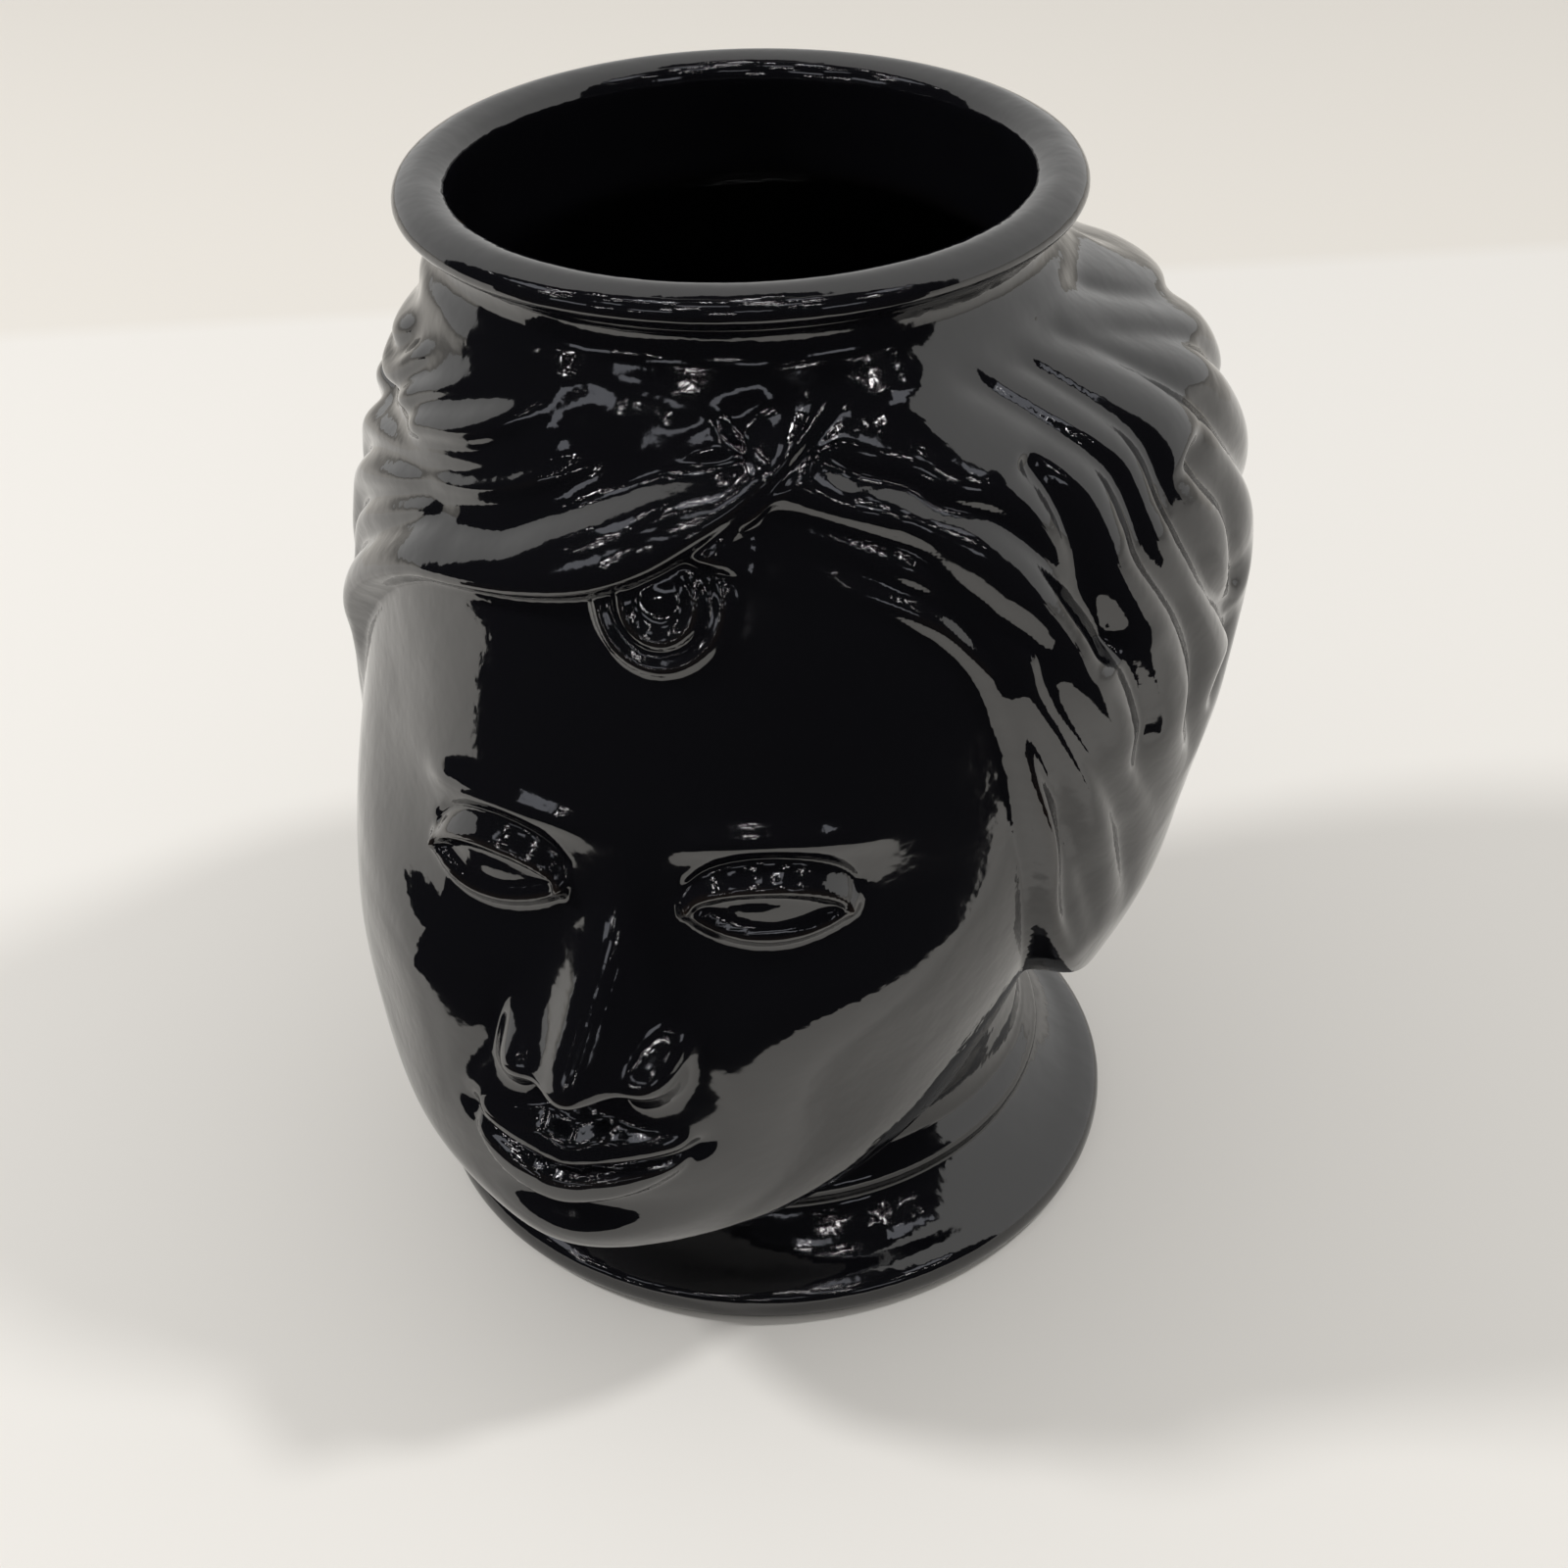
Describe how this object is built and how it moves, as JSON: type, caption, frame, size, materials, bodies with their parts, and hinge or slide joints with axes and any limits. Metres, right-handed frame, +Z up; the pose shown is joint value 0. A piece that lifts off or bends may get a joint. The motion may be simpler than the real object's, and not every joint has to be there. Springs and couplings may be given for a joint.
{
  "type": "face vase",
  "caption": "Black glazed ceramic vase shaped as a hollow head with swept locks of hair, on a flared round foot, with a short collar and a rolled lip round an open mouth",
  "frame": {"origin": "Centre of the foot, on the surface it stands on", "axes": "+Z up along the vase's axis, +Y from the face to the back of the head, +X to the side of the long hair"},
  "size_m": [0.1248, 0.144, 0.15],
  "materials": {
    "black_glaze": "high gloss black glaze"
  },
  "bodies": {
    "root": {"foot": "black_glaze", "neck": "black_glaze", "head": "black_glaze", "hair_left": "black_glaze", "hair_right": "black_glaze", "forehead_curl": "black_glaze", "collar": "black_glaze", "lip": "black_glaze"}
  },
  "joints": []
}
